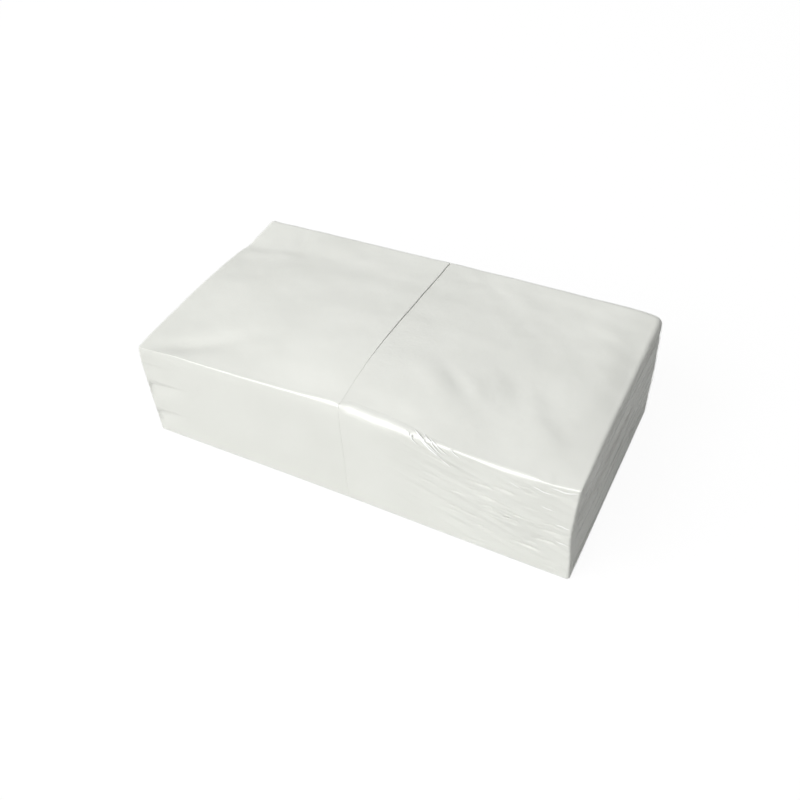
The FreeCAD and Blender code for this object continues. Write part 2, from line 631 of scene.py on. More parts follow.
@dataclass
class SoftBlock:
    """A block with a crowned top, upright corners and soft edges, as a lattice."""

    shape: PackShape
    left: float
    right: float
    front: float
    back: float
    base: float
    lift: float
    columns: np.ndarray
    rows: np.ndarray
    shares: np.ndarray
    corners: tuple[tuple[float, float], tuple[float, float]]
    base_edge: float = 1.0
    drawn_share: float = 0.125

    def rounded(self, x: np.ndarray, y: np.ndarray) -> tuple[np.ndarray, np.ndarray, np.ndarray]:
        """Moves the points near the upright corners onto their arcs.

        Args:
            x: the places along the pack.
            y: the same from its front to its back.

        Returns:
            The new x and y, and the outward direction of each point, which counts at the outline.
        """
        low, high = np.array([self.left, self.front]), np.array([self.right, self.back])
        at, centre = np.column_stack([x, y]), (low + high) / 2
        (left_front, left_back), (right_front, right_back) = self.corners
        on_left, at_front = (at < centre).T
        left_radius = np.where(at_front, left_front, left_back)
        radius = np.where(on_left, left_radius, np.where(at_front, right_front, right_back))
        reach = (high - low) / 2 - radius[:, None]
        over = np.clip(np.abs(at - centre) - reach, 0, None)
        length = np.hypot(over[:, 0], over[:, 1])
        scale = np.where(length > 0, over.max(axis=1) / np.maximum(length, 1e-9), 1)[:, None]
        in_corner = (over > 0).all(axis=1)[:, None]
        sign = np.sign(at - centre)
        arc = np.where(in_corner, centre + sign * (reach + over * scale), at)
        on_edge = (at == low) | (at == high)
        over = np.where(in_corner, over, np.where(on_edge, np.maximum(over, 1), 0))
        out = np.column_stack([sign * over, np.zeros_like(x)])
        out /= np.maximum(np.linalg.norm(out, axis=1), 1e-9)[:, None]
        return arc[:, 0], arc[:, 1], out

    def edges(self, x: np.ndarray, y: np.ndarray) -> tuple[np.ndarray, np.ndarray]:
        """The radii of the top edge, which is small at the gap.

        Args:
            x: the places along the pack.
            y: the same from its front to its back.

        Returns:
            The radius along the ends, and the one along the front and the back.
        """
        near_gap = np.where(x < (self.left + self.right) / 2, self.left > -50, self.right < 50)
        along_ends = np.where(near_gap, np.interp(y, *GAP_EDGE), np.interp(y, *END_EDGE))
        share = soft_step(y, self.front + 20, self.front + 10)
        return along_ends, np.interp(x, *FRONT_EDGE) * share + BACK_EDGE * (1 - share)

    def lattice(self) -> Lattice:
        """Builds the net: a ring of points for each share of the height, a top and a base.

        Returns:
            The net, with the outward direction and the share of the height of each point.
        """
        grid_x, grid_y = np.meshgrid(self.columns, self.rows, indexing="ij")
        count_x, count_y = grid_x.shape
        loop = [(i, 0) for i in range(count_x - 1)] + [(count_x - 1, j) for j in range(count_y - 1)]
        loop += [(i, count_y - 1) for i in range(count_x - 1, 0, -1)]
        loop = np.array(loop + [(0, j) for j in range(count_y - 1, 0, -1)])
        x, y, out = self.rounded(grid_x.ravel(), grid_y.ravel())
        ring = loop[:, 0] * count_y + loop[:, 1]
        edge_x, edge_y = self.edges(x, y)
        top_x, top_y = self.drawn_in(x, y, edge_x, edge_y)
        base_x, base_y = self.drawn_in(x, y, self.base_edge, self.base_edge)
        height = self.shape.top(x, y) + self.lift - self.base
        points, directions, shares = [], [], []
        for share in self.shares:
            depth = (1 - share) * height[ring]
            above = share * height[ring]
            open_x, open_y = self.opening(depth, edge_x[ring]), self.opening(depth, edge_y[ring])
            open_top = np.where(np.abs(out[ring, 0]) > np.abs(out[ring, 1]), open_x, open_y)
            open_base = self.opening(above, np.full(len(ring), self.base_edge))
            px = x[ring] - (x - top_x)[ring] * (1 - open_x) - (x - base_x)[ring] * (1 - open_base)
            py = y[ring] - (y - top_y)[ring] * (1 - open_y) - (y - base_y)[ring] * (1 - open_base)
            points.append(np.column_stack([px, py, self.base + above]))
            tilt = np.sqrt(np.clip(1 - open_top**2, 0, 1)) - np.sqrt(np.clip(1 - open_base**2, 0, 1))
            directions.append(out[ring] * (open_top * open_base)[:, None] + tilt[:, None] * UP)
            shares.append(np.full(len(ring), share))
        inner = np.ones((count_x, count_y), bool)
        inner[loop[:, 0], loop[:, 1]] = False
        inside = np.flatnonzero(inner.ravel())
        top_z = self.shape.top(x, y)[inside] + self.lift
        points.append(np.column_stack([top_x[inside], top_y[inside], top_z]))
        points.append(np.column_stack([base_x[inside], base_y[inside], np.full(len(inside), self.base)]))
        directions += [np.tile(UP, (len(inside), 1)), np.tile(-UP, (len(inside), 1))]
        shares += [np.ones(len(inside)), np.zeros(len(inside))]
        faces = self.faces(count_x, count_y, ring, inside)
        return Lattice(np.vstack(points), faces, np.vstack(directions), np.concatenate(shares))

    def drawn_in(
        self, x: np.ndarray, y: np.ndarray, edge_x: Any, edge_y: Any
    ) -> tuple[np.ndarray, np.ndarray]:
        """Draws the points of the top or base in from the outline.

        Args:
            x: the places along the pack.
            y: the same from its front to its back.
            edge_x: the radius of the edge along the ends.
            edge_y: the radius of the edge along the front and the back.

        Returns:
            The new x and y.
        """
        moved = []
        for at, low, high, edge in ((x, self.left, self.right, edge_x), (y, self.front, self.back, edge_y)):
            share = (at - low) / (high - low)
            inward = np.minimum(share, 1 - share) / self.drawn_share
            near = np.clip(1 - inward, 0, 1) * np.sign(0.5 - share)
            moved.append(at + edge * near)
        return moved[0], moved[1]

    @staticmethod
    def opening(depth: np.ndarray, radius: np.ndarray) -> np.ndarray:
        """How far the wall has come out, from 0 at an edge to 1 a radius away from it."""
        reach = np.clip((radius - depth) / radius, 0, 1)
        return np.sqrt(np.clip(1 - reach**2, 0, 1))

    def faces(self, count_x: int, count_y: int, ring: np.ndarray, inside: np.ndarray) -> np.ndarray:
        """The four-sided faces of the walls, the top and the base, all facing out.

        Args:
            count_x: how many lines the grid has along the pack.
            count_y: how many it has across.
            ring: where the outline lies in the grid, in order.
            inside: where the other points lie in the grid.

        Returns:
            The numbers of the four points of each face.
        """
        around, levels = len(ring), len(self.shares)
        here = np.arange(around)
        after = (here + 1) % around
        walls = []
        for level in range(levels - 1):
            low, high = level * around, (level + 1) * around
            walls.append(np.column_stack([low + here, low + after, high + after, high + here]))
        caps = []
        top = ((levels - 1) * around, levels * around, True)
        base = (0, levels * around + len(inside), False)
        for start, first, upward in (top, base):
            index = np.empty(count_x * count_y, int)
            index[ring] = start + here
            index[inside] = first + np.arange(len(inside))
            index = index.reshape(count_x, count_y)
            quad = np.stack([index[:-1, :-1], index[1:, :-1], index[1:, 1:], index[:-1, 1:]], axis=-1)
            quad = quad.reshape(-1, 4)
            caps.append(quad if upward else quad[:, ::-1])
        return np.vstack([*walls, *caps])


# How far beside a corner a line lies that keeps the wall's shading flat
BESIDE_CORNER = 0.3


def spaced(
    start: float,
    end: float,
    corners: tuple[float, float],
    step: float,
    dense: Iterable[tuple[float, float, float]] = (),
) -> np.ndarray:
    """Grid lines from start to end, close together in the corners and in the dense stretches.

    Args:
        start: the first line.
        end: the last line.
        corners: the corner radii at both ends, which get three lines each.
        step: the usual distance.
        dense: stretches as (from, to, step).

    Returns:
        The lines in order.
    """
    first, last = corners
    lines = [start, start + first * 0.4, start + first * 0.75, start + first]
    lines += [end - last, end - last * 0.75, end - last * 0.4, end]
    lines += [start + first + BESIDE_CORNER, end - last - BESIDE_CORNER]
    at = start + first + BESIDE_CORNER
    while True:
        here = min([s for low, high, s in dense if low <= at <= high], default=step)
        at += here
        if at > end - last - BESIDE_CORNER - here * 0.6:
            break
        lines.append(at)
    return np.array(sorted(lines))


def settle(piece: bpy.types.Object, node: str) -> None:
    """Hands a finished piece over: it rides on the pack and stands for a solid.

    Args:
        piece: the piece.
        node: the solid that it stands for.
    """
    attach(piece, "root")
    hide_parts(node)
    piece.data.calc_loop_triangles()
    LOG.info("%s: %d triangles", piece.name, len(piece.data.loop_triangles))


def placed(name: str, mesh: bpy.types.Mesh, material: bpy.types.Material) -> bpy.types.Object:
    """Puts a mesh into the scene.

    Args:
        name: the name of the object.
        mesh: its mesh.
        material: its one material.

    Returns:
        The object, at the origin.
    """
    piece = bpy.data.objects.new(name, mesh)
    bpy.context.scene.collection.objects.link(piece)
    mesh.materials.clear()
    mesh.materials.append(material)
    return piece


def plain_mesh(piece: bpy.types.Object) -> None:
    """Turns what a piece's modifiers make into its own mesh, and removes them.

    Args:
        piece: the piece, which is changed.
    """
    graph = bpy.context.evaluated_depsgraph_get()
    made = bpy.data.meshes.new_from_object(piece.evaluated_get(graph))
    piece.modifiers.clear()
    piece.data = made
    made.shade_smooth()


# The finishes


FILM_CREASES: tuple[Crease, ...] = (
    Crease(Side.TOP, (-88.7, 58.8, 0), (-82.9, 41.5, 0), 2.6, 0.3, fades=False),
    Crease(Side.TOP, (-116, 29.0, 0), (-84, 31.5, 0), 2.2, 0.3, Fold.RIDGE),
    Crease(Side.TOP, (106.5, -62, 0), (104.5, -57, 0), 0.9, 0.5, fades=False),
    Crease(Side.FRONT, (30, 0, 58), (70, 0, 40), 2.0, 0.25, fades=False),
    Crease(Side.FRONT, (48, 0, 52), (100, 0, 30), 1.6, 0.25, Fold.RIDGE),
    Crease(Side.RIGHT_END, (0, -51, 40.0), (0, -40, 46.0), 0.9, 0.4, Fold.RIDGE, False),
    Crease(Side.RIGHT_END, (0, -50, 46.0), (0, -42, 39.5), 0.9, 0.4, Fold.RIDGE, False),
)

# Where the creases of a side show: the axis, and from where to where they fade in, in metres
CREASE_BANDS = {
    Side.TOP: (2, 0.050, 0.056),
    Side.FRONT: (1, -0.0585, -0.0615),
    Side.RIGHT_END: (0, 0.114, 0.117),
}


def crease_height(maker: NodeMaker, place: Value) -> Value:
    """The height of all the creases, as nodes.

    Args:
        maker: adds the nodes.
        place: the place on the surface, in metres.

    Returns:
        The height at the place, in metres.
    """
    places, parts = maker.apart(place), []
    for side, (axis, low, high) in CREASE_BANDS.items():
        heights = [crease.height(maker, place) for crease in FILM_CREASES if crease.side is side]
        parts.append(sum(heights[1:], heights[0]) * maker.smooth_step(places[axis], low, high))
    return sum(parts[1:], parts[0])


class Finish:
    """What the finishes of the pack share: a material that each of them gives its own surface."""

    name = "finish"

    def surface(self, maker: NodeMaker, place: Value) -> Value:
        """The surface of the finish, as nodes. The place is on the piece, in metres."""
        raise NotImplementedError

    def material(self) -> bpy.types.Material:
        """Builds the finish.

        Returns:
            The material.
        """
        material = bpy.data.materials.new(self.name)
        material.use_nodes = True
        maker = NodeMaker(material.node_tree)
        place = maker.add("ShaderNodeTexCoord", {}, None, "Object")
        maker.add("ShaderNodeOutputMaterial", {}, {"Surface": self.surface(maker, place)})
        return material


@dataclass(frozen=True)
class TissuePaper(Finish):
    """White one-ply tissue with a fine crepe, which is mottled around one place on the top."""

    light: tuple[float, float, float] = (0.79, 0.79, 0.753)
    dull: tuple[float, float, float] = (0.75, 0.75, 0.713)
    crepe: float = 0.000035
    mottle: float = 0.00012
    mottled_at: tuple[float, float, float] = (0.012, -0.004, 0)
    crinkle: float = 0.00025
    roughness: float = 0.92
    sheen: float = 0.2
    name = "tissue_paper"

    def surface(self, maker: NodeMaker, place: Value) -> Value:
        """The surface of the finish.

        Args:
            maker: adds the nodes.
            place: the place on the piece, in metres.

        Returns:
            The shader.
        """
        cloud = maker.noise(place, (22, 22, 30), 2.0, 0.6)
        fibre = maker.noise(place, (500, 1400, 1400), 1.0, 0.6)
        shade = maker.smooth_step(cloud * 0.7 + fibre * 0.3, 0.35, 0.65)
        colour = maker.between(shade, self.dull, self.light)
        ridges = maker.noise(place, (700, 2100, 2100), 2.0, 0.55)
        flat = maker.vector("MULTIPLY", place, (1, 0.55, 0))
        near = maker.vector("DISTANCE", flat, self.mottled_at, output="Value")
        patch = maker.smooth_step(near, 0.030, 0.004, 0.15, 1.0)
        lumps = maker.noise(place, (420, 620, 620), 2.0, 0.6)
        crinkle = (maker.noise(place, (60, 66, 80), 2.0, 0.5) - 0.5).math("ABSOLUTE")
        height = ridges * self.crepe + lumps * patch * self.mottle + crinkle * self.crinkle
        finish = {"Base Color": colour, "Roughness": self.roughness, "Specular IOR Level": self.sheen}
        return maker.add("ShaderNodeBsdfPrincipled", {}, {**finish, "Normal": maker.bump(height)})


@dataclass(frozen=True)
class ClearFilm(Finish):
    """Clear glossy film with ripples, a fine crinkle and creases."""

    tint: tuple[float, float, float] = (0.985, 0.988, 0.985)
    roughness: float = 0.35
    reflectance: float = 0.032
    grazing: float = 0.08
    ripple: float = 0.00012
    crinkle: float = 0.0002
    name = "clear_film"

    def surface(self, maker: NodeMaker, place: Value) -> Value:
        """The surface of the finish.

        Args:
            maker: adds the nodes.
            place: the place on the piece, in metres.

        Returns:
            The shader.
        """
        ripple = maker.noise(place, (60, 90, 260), 3.0, 0.55)
        crinkle = maker.noise(place, (330, 420, 420), 2.0, 0.6)
        height = ripple * self.ripple + crinkle * self.crinkle + crease_height(maker, place)
        finish = {"Color": (1, 1, 1, 1), "Roughness": self.roughness, "Normal": maker.bump(height)}
        gloss = maker.add("ShaderNodeBsdfGlossy", {}, finish)
        clear = maker.add("ShaderNodeBsdfTransparent", {}, {"Color": (*self.tint, 1)})
        slope = maker.add("ShaderNodeLayerWeight", {}, {"Blend": 0.5}, "Facing")
        mirror = self.reflectance + slope.math("POWER", 5.0) * self.grazing
        return maker.add("ShaderNodeMixShader", {}, [mirror, clear, gloss])


@dataclass(frozen=True)
class FoldedFilmWithPaintedGlint(Finish):
    """Film folded in several layers, whose near-white colour is also a painted highlight for the glints
    along the film's wrinkles.
    """

    # A near-white colour: partly film folded in layers, partly a painted highlight for the glints of the
    # wrinkles.
    colour: tuple[float, float, float] = (0.97, 0.975, 0.965)
    roughness: float = 0.3
    name = "folded_film_painted_glint"

    def surface(self, maker: NodeMaker, place: Value) -> Value:
        """The surface of the finish.

        Args:
            maker: adds the nodes.
            place: the place on the piece, in metres.

        Returns:
            The shader.
        """
        grain = maker.noise(place, (300, 900, 900), 2.0)
        colour = maker.between(grain, [part * 0.97 for part in self.colour], self.colour)
        bump = maker.bump(grain, 0.6, 0.0002)
        finish = {"Base Color": colour, "Roughness": self.roughness, "Normal": bump}
        return maker.add("ShaderNodeBsdfPrincipled", {}, finish)


# The pieces


@dataclass(frozen=True)
class NapkinEdges:
    """Geometry Nodes that give the sides of a stack the edges of its single napkins.

    The cells of a pattern are given as how many lie in a metre, and how many in a napkin's height.
    """

    napkins: int = 200
    edge_depth: float = 0.10
    slip: float = 0.16
    clump: float = 0.22
    slip_cells: tuple[float, float] = (9.0, 3.71)
    clump_cells: tuple[float, float] = (14.0, 0.16)

    def tree(self) -> bpy.types.NodeTree:
        """Builds the node group, with named inputs for its sizes.

        Returns:
            The node group.
        """
        tree = bpy.data.node_groups.new("napkin_edges", "GeometryNodeTree")
        maker = NodeMaker(tree)
        face = tree.interface
        face.new_socket("Geometry", in_out="INPUT", socket_type="NodeSocketGeometry")
        for name in ("Napkins", "Edge depth", "Slip", "Clump", "Seed"):
            face.new_socket(name, in_out="INPUT", socket_type="NodeSocketFloat")
        face.new_socket("Paper", in_out="INPUT", socket_type="NodeSocketMaterial")
        face.new_socket("Geometry", in_out="OUTPUT", socket_type="NodeSocketGeometry")
        sockets = list(maker.add("NodeGroupInput").socket.node.outputs)[:7]
        whole, napkins, depth, slip, clump, seed, paper = (Value(maker, socket) for socket in sockets)
        share, out, loose = (
            maker.add("GeometryNodeInputNamedAttribute", {"data_type": kind}, {"Name": name})
            for name, kind in (("share", "FLOAT"), ("out", "FLOAT_VECTOR"), ("loose", "FLOAT"))
        )
        across, along, _ = maker.apart(maker.add("GeometryNodeInputPosition"))
        layer = share * napkins
        crest = layer.math("PINGPONG", 0.5) * 2
        number = layer.math("FLOOR")
        cells = []
        for (wide, high), level in ((self.slip_cells, number), (self.clump_cells, layer)):
            place = [across * wide, along * wide, level * high + seed]
            cells.append(maker.add("ShaderNodeCombineXYZ", {}, place))
        slips = maker.noise(cells[0], None, 1.0) * slip
        clumps = maker.noise(cells[1], None, 3.0) * clump
        inset = (1 - crest) * depth + (slips + clumps) * loose
        offset = maker.add("ShaderNodeVectorMath", {"operation": "SCALE"}, {0: out, "Scale": 0 - inset})
        moved = maker.add("GeometryNodeSetPosition", {}, {"Geometry": whole, "Offset": offset})
        real = maker.add("GeometryNodeRealizeInstances", {}, {0: moved})
        dressed = maker.add("GeometryNodeSetMaterial", {}, {"Geometry": real, "Material": paper})
        maker.add("NodeGroupOutput", {}, {0: dressed})
        return tree

    def apply(
        self, piece: bpy.types.Object, tree: bpy.types.NodeTree, paper: bpy.types.Material, seed: float
    ) -> None:
        """Runs the nodes on a piece and keeps the result as its mesh.

        Args:
            piece: the piece, whose points carry share, out and loose.
            tree: the node group.
            paper: the material of the piece.
            seed: picks the pattern of slips.
        """
        modifier = piece.modifiers.new("napkin edges", "NODES")
        modifier.node_group = tree
        sizes = {
            "Napkins": float(self.napkins),
            "Edge depth": self.edge_depth * MILLIMETRE,
            "Slip": self.slip * MILLIMETRE,
            "Clump": self.clump * MILLIMETRE,
            "Seed": seed,
            "Paper": paper,
        }
        for item in tree.interface.items_tree:
            if item.in_out == "INPUT" and item.name in sizes:
                modifier[item.identifier] = sizes[item.name]
        plain_mesh(piece)


@dataclass
class NapkinStack:
    """One stack of folded napkins."""

    shape: PackShape
    name: str
    node: str
    left: float
    right: float
    seed: float
    base: float = 0.16
    corner: float = 1.4
    gap_corner: float = 0.06
    gap_fade: float = 3.6
    step: float = 2.7
    edges: NapkinEdges = NapkinEdges()

    def build(self, tree: bpy.types.NodeTree, paper: bpy.types.Material) -> bpy.types.Object:
        """Makes the stack.

        Args:
            tree: the node group of the napkin edges.
            paper: the material.

        Returns:
            The piece.
        """
        front, back = -self.shape.half_depth, self.shape.half_depth
        on_left = self.left < 0
        ends = (self.corner, self.gap_corner) if on_left else (self.gap_corner, self.corner)
        at_gap = (self.gap_corner, 0.3)
        block = SoftBlock(
            shape=self.shape,
            left=self.left,
            right=self.right,
            front=front,
            back=back,
            base=self.base,
            lift=0.0,
            columns=spaced(self.left, self.right, ends, self.step, ((22, 62, 2.0),)),
            rows=spaced(front, back, (self.corner, self.corner), self.step),
            shares=np.arange(2 * self.edges.napkins + 1) / (2 * self.edges.napkins),
            corners=((self.corner, 2.0), at_gap) if on_left else (at_gap, (self.corner, 3.8)),
        )
        lattice = block.lattice()
        sideways = lattice.out * (1, 1, 0)
        inner = np.clip(lattice.out[:, 0] * (1 if on_left else -1), 0, 1)
        edge = (inner > 0.1) & (inner < 0.95)
        inner[edge] = 0
        sideways[edge, 0] = 0
        sideways[edge, 1] = np.sign(lattice.points[edge, 1])
        drawn = self.shape.sag(lattice.points, lattice.out)
        drawn = drawn - self.shape.openings(lattice.points, lattice.out)
        lattice.points += sideways * (drawn * (1 - inner))[:, None]
        x, y, z = lattice.points.T
        near_gap = np.clip(1 - (np.abs(x) - HALF_GAP) / self.gap_fade, 0, 1)
        x -= np.sign(x) * self.shape.closing(y, z) * near_gap
        lattice.points += self.shape.lean(lattice.points)
        mesh = lattice.mesh(self.name)
        self.store(mesh, "share", "FLOAT", "value", lattice.share)
        self.store(mesh, "out", "FLOAT_VECTOR", "vector", sideways * (1 - inner)[:, None])
        self.store(mesh, "loose", "FLOAT", "value", self.looseness(lattice) * (1 - inner))
        piece = placed(self.name, mesh, paper)
        self.edges.apply(piece, tree, paper, self.seed)
        settle(piece, self.node)
        return piece

    @staticmethod
    def store(mesh: bpy.types.Mesh, name: str, kind: str, field_name: str, values: np.ndarray) -> None:
        """Keeps a number or a vector for each point of a mesh."""
        layer = mesh.attributes.new(name, kind, "POINT")
        layer.data.foreach_set(field_name, values.astype(np.float32).ravel())

    @staticmethod
    def looseness(lattice: Lattice) -> np.ndarray:
        """How loosely the edges lie, from the smooth folds at the front left to the open edges."""
        front = np.clip(-lattice.out[:, 1], 0, 1)
        return 1 - front * (0.85 - 0.6 * soft_step(lattice.points[:, 0], 0, 90))


@dataclass(frozen=True)
class EndFolds:
    """The four flaps that close an end like an envelope, the top one over the base one."""

    side: float = 60.4
    low: float = 2.4
    high: float = 57.6
    overlap: float = 10.0
    side_share: float = 0.45
    step: float = 0.1

    @property
    def reach(self) -> float:
        """How far the base and top flaps reach in."""
        return (self.high - self.low + self.overlap) / 2

    @property
    def side_reach(self) -> float:
        """How far the side flaps reach in."""
        return (self.high - self.low) * self.side_share

    def relief(self, y: np.ndarray, z: np.ndarray) -> np.ndarray:
        """How far the flaps stand out from the end.

        Args:
            y: the places from the front to the back.
            z: how high they are.

        Returns:
            The distance at each place.
        """
        beside = self.side - np.abs(y)
        above, below = z - self.low, self.high - z
        level = np.minimum(above, below)
        sides = self.edge(np.minimum(np.minimum(beside, level - beside), self.side_reach - beside))
        base = self.edge(np.minimum(np.minimum(above, beside - above), self.reach - above))
        top = self.edge(np.minimum(np.minimum(below, beside - below), self.reach - below))
        return self.step * np.maximum(np.maximum(sides, 2 * base), 3 * top)

    @staticmethod
    def edge(inside: np.ndarray) -> np.ndarray:
        """A soft step from 0 outside a flap to 1 inside it."""
        return soft_step(inside, -0.6, 0.6)


@dataclass
class FilmWrap:
    """The clear wrapper: a film drawn over both stacks, lapped under them and folded in at the ends."""

    shape: PackShape
    thickness: float = 0.08
    clearance: float = 0.25
    seam: float = 14.0
    dip: float = 0.25
    notch: float = 0.2
    corner: float = 1.8
    dense_columns: tuple = ((-4, 6, 0.9), (6, 66, 1.6), (92, 120, 1.6))
    dense_rows: tuple = ((-66, -52, 1.1),)
    folds: EndFolds = EndFolds()

    def block(self) -> SoftBlock:
        """The outer form of the film.

        Returns:
            The block that the film encloses.
        """
        across, along = self.shape.half_length + self.clearance, self.shape.half_depth + self.clearance
        return SoftBlock(
            shape=self.shape,
            left=-across,
            right=across,
            front=-along,
            back=along,
            base=self.thickness,
            lift=self.clearance,
            columns=spaced(-across, across, (self.corner, self.corner), 2.4, self.dense_columns),
            rows=spaced(-along, along, (self.corner, self.corner), 2.0, self.dense_rows),
            shares=self.shares(),
            corners=((self.corner, 2.4), (self.corner, 4.2)),
            base_edge=1.1,
        )

    def build(self, film: bpy.types.Material) -> bpy.types.Object:
        """Makes the film, a closed thin wall.

        Args:
            film: the material.

        Returns:
            The piece.
        """
        lattice = self.block().lattice()
        sideways = lattice.out * (1, 1, 0)
        lattice.points += sideways * self.shape.sag(lattice.points, lattice.out)[:, None]
        x, y, z = lattice.points.T
        dip = np.exp(-((x / 1.6) ** 2)) * soft_step(y, -50, 0)
        notch = np.exp(-(((x + 0.4) / 1.3) ** 2)) * soft_step(y, -54, -60)
        lowered = self.dip * dip + self.notch * notch
        lattice.points -= UP * (lowered * (lattice.out[:, 2] > 0.5))[:, None]
        ends = np.clip(np.abs(lattice.out[:, 0]) * 4 - 3, 0, 1)
        lattice.points += sideways * (ends * self.folds.relief(y, z))[:, None]
        under = lattice.out[:, 2] < -0.5
        lap = soft_step(np.abs(y), self.seam / 2, self.seam / 2 - 1.5)
        lattice.points -= UP * (self.thickness * lap * under)[:, None]
        lattice.points += self.shape.lean(lattice.points)
        piece = placed("film_wrapper", lattice.mesh("film_wrapper"), film)
        modifier = piece.modifiers.new("film thickness", "SOLIDIFY")
        modifier.thickness = self.thickness * MILLIMETRE
        modifier.offset = -1.0
        plain_mesh(piece)
        settle(piece, "film_wrap")
        return piece

    @staticmethod
    def shares() -> np.ndarray:
        """The levels of the walls, closer at the base and the top edge.

        Returns:
            The levels as shares of the height, from 0 to 1.
        """
        base = np.array([0, 0.003, 0.008, 0.014, 0.02])
        walls = np.linspace(0.04, 0.9, 54)
        top = 1 - 0.08 * (1 - np.sin(np.linspace(0, math.pi / 2, 11))) ** 0.9
        return np.concatenate([base, walls, top])


@dataclass(frozen=True)
class Pleat:
    """A thin fold that stands up from the film, drawn on the front from top to bottom.

    Each point is a place along the pack and a distance down from the top edge, where a negative
    distance lies on the top.
    """

    points: tuple[tuple[float, float], ...]
    width: float
    height: float


@dataclass
class FilmPleats:
    """The bundle of small pleats where the film crosses the front top edge, and those beside it. They are
    opaque and near white, so besides folded film they paint the glints of the film's wrinkles.
    """

    wrap: FilmWrap
    pleats: tuple[Pleat, ...] = (
        Pleat(((38.5, -2.5), (43.5, 0.8), (48.5, 4.2), (53.5, 7.2)), 1.0, 0.16),
        Pleat(((41.0, -1.6), (46.5, 2.0), (52.5, 5.6)), 0.8, 0.14),
        Pleat(((43.5, -2.6), (47.0, -0.2), (50.5, 2.4), (54.5, 5.2)), 0.7, 0.14),
        Pleat(((47.0, -1.8), (51.5, 1.0), (57.0, 4.0)), 0.7, 0.12),
        Pleat(((34.0, -0.6), (38.0, 1.6), (42.5, 5.0)), 0.5, 0.1),
        Pleat(((53.0, 7.8), (58.5, 11.0)), 0.45, 0.08),
        Pleat(((57.0, 0.0), (63.5, 3.2)), 0.5, 0.1),
        Pleat(((105.0, 1.9), (111.0, 2.4), (117.0, 1.6)), 0.6, 0.12),
        Pleat(((97.0, 3.4), (101.0, 4.8), (106.0, 5.6)), 0.6, 0.12),
        Pleat(((110.0, 24.6), (114.0, 25.6), (117.0, 26.0)), 0.6, 0.12),
        Pleat(((110.5, 35.4), (114.0, 36.4), (117.0, 36.8)), 0.55, 0.1),
        Pleat(((102.0, 15.0), (108.0, 16.4)), 0.4, 0.08),
        Pleat(((86.0, 6.0), (93.0, 8.2)), 0.35, 0.06),
    )
    steps: int = 25

    def on_film(self, x: float, down: float) -> tuple[np.ndarray, np.ndarray]:
        """Finds a place on the film near the front top edge.

        Args:
            x: where it is along the pack.
            down: how far it is down from the top edge, over the film.

        Returns:
            The place and the outward direction there.
        """
        block, shape = self.wrap.block(), self.wrap.shape
        front = np.array([block.front])
        at = np.array([x])
        radius = float(block.edges(at, front)[1][0])
        top = float(shape.top(at, front + radius)[0]) + block.lift
        turn = float(np.clip(down / radius + math.pi / 4, 0, math.pi / 2))
        past = down - (turn - math.pi / 4) * radius
        out = np.array([0.0, -math.sin(turn), math.cos(turn)])
        place = np.array([x, block.front + radius, top - radius]) + out * radius
        place += np.array([0.0, -min(past, 0.0), -max(past, 0.0)])
        if past < 0:
            place[2] = float(shape.top(at, np.array([place[1]]))[0]) + block.lift
        side = np.array([[0.0, -math.sin(turn), 0.0]])
        sag = float(shape.sag(place[None], side)[0])
        return place + side[0] * sag + shape.lean(place[None])[0], out

    def tube(self, pleat: Pleat) -> tuple[np.ndarray, np.ndarray]:
        """Builds one pleat, a flat tube that is pointed at both ends.

        Args:
            pleat: the pleat.

        Returns:
            Its points, and the numbers of the four points of each face.
        """
        corners = np.array(pleat.points)
        knots = np.linspace(0, 1, len(corners))
        at = np.linspace(0, 1, self.steps)
        path = curve_weights(knots, at) @ corners
        bases, outs = zip(*(self.on_film(x, down) for x, down in path))
        centre, out = np.array(bases), np.array(outs)
        along = np.gradient(centre, axis=0)
        across = np.cross(out, along)
        across /= np.linalg.norm(across, axis=1)[:, None]
        taper = np.sin(np.pi * np.clip(at, 0.012, 0.988))[:, None] ** 0.6
        sway = 0.25 * pleat.width * np.sin(at * 9.0 + pleat.width * 50)[:, None]
        rings = []
        for angle in np.arange(8) / 8 * 2 * math.pi:
            wide, tall = math.cos(angle) * pleat.width / 2, math.sin(angle) * pleat.height
            rings.append(centre + across * (wide * taper + sway) + out * tall * taper)
        points = np.stack(rings, axis=1)
        count = len(at)
        index = np.arange(count * 8).reshape(count, 8)
        after = np.roll(index, -1, axis=1)
        faces = np.stack([index[:-1], after[:-1], after[1:], index[1:]], axis=-1).reshape(-1, 4)
        caps = [index[0, [3, 2, 1, 0]], index[0, [4, 3, 0, 7]], index[0, [5, 4, 7, 6]]]
        caps += [index[-1, [0, 1, 2, 3]], index[-1, [7, 0, 3, 4]], index[-1, [6, 7, 4, 5]]]
        return points.reshape(-1, 3), np.vstack([faces, caps])

    def build(self, finish: bpy.types.Material) -> bpy.types.Object:
        """Makes all the pleats as one piece.

        Args:
            finish: the material.

        Returns:
            The piece.
        """
        points, faces, count = [], [], 0
        for pleat in self.pleats:
            rings, quads = self.tube(pleat)
            points.append(rings)
            faces.append(quads + count)
            count += len(rings)
        all_points = np.vstack(points)
        lattice = Lattice(all_points, np.vstack(faces), np.zeros_like(all_points), np.zeros(count))
        piece = placed("film_pleats_painted_glint", lattice.mesh("film_pleats_painted_glint"), finish)
        settle(piece, "film_wrap")
        return piece


# The studio


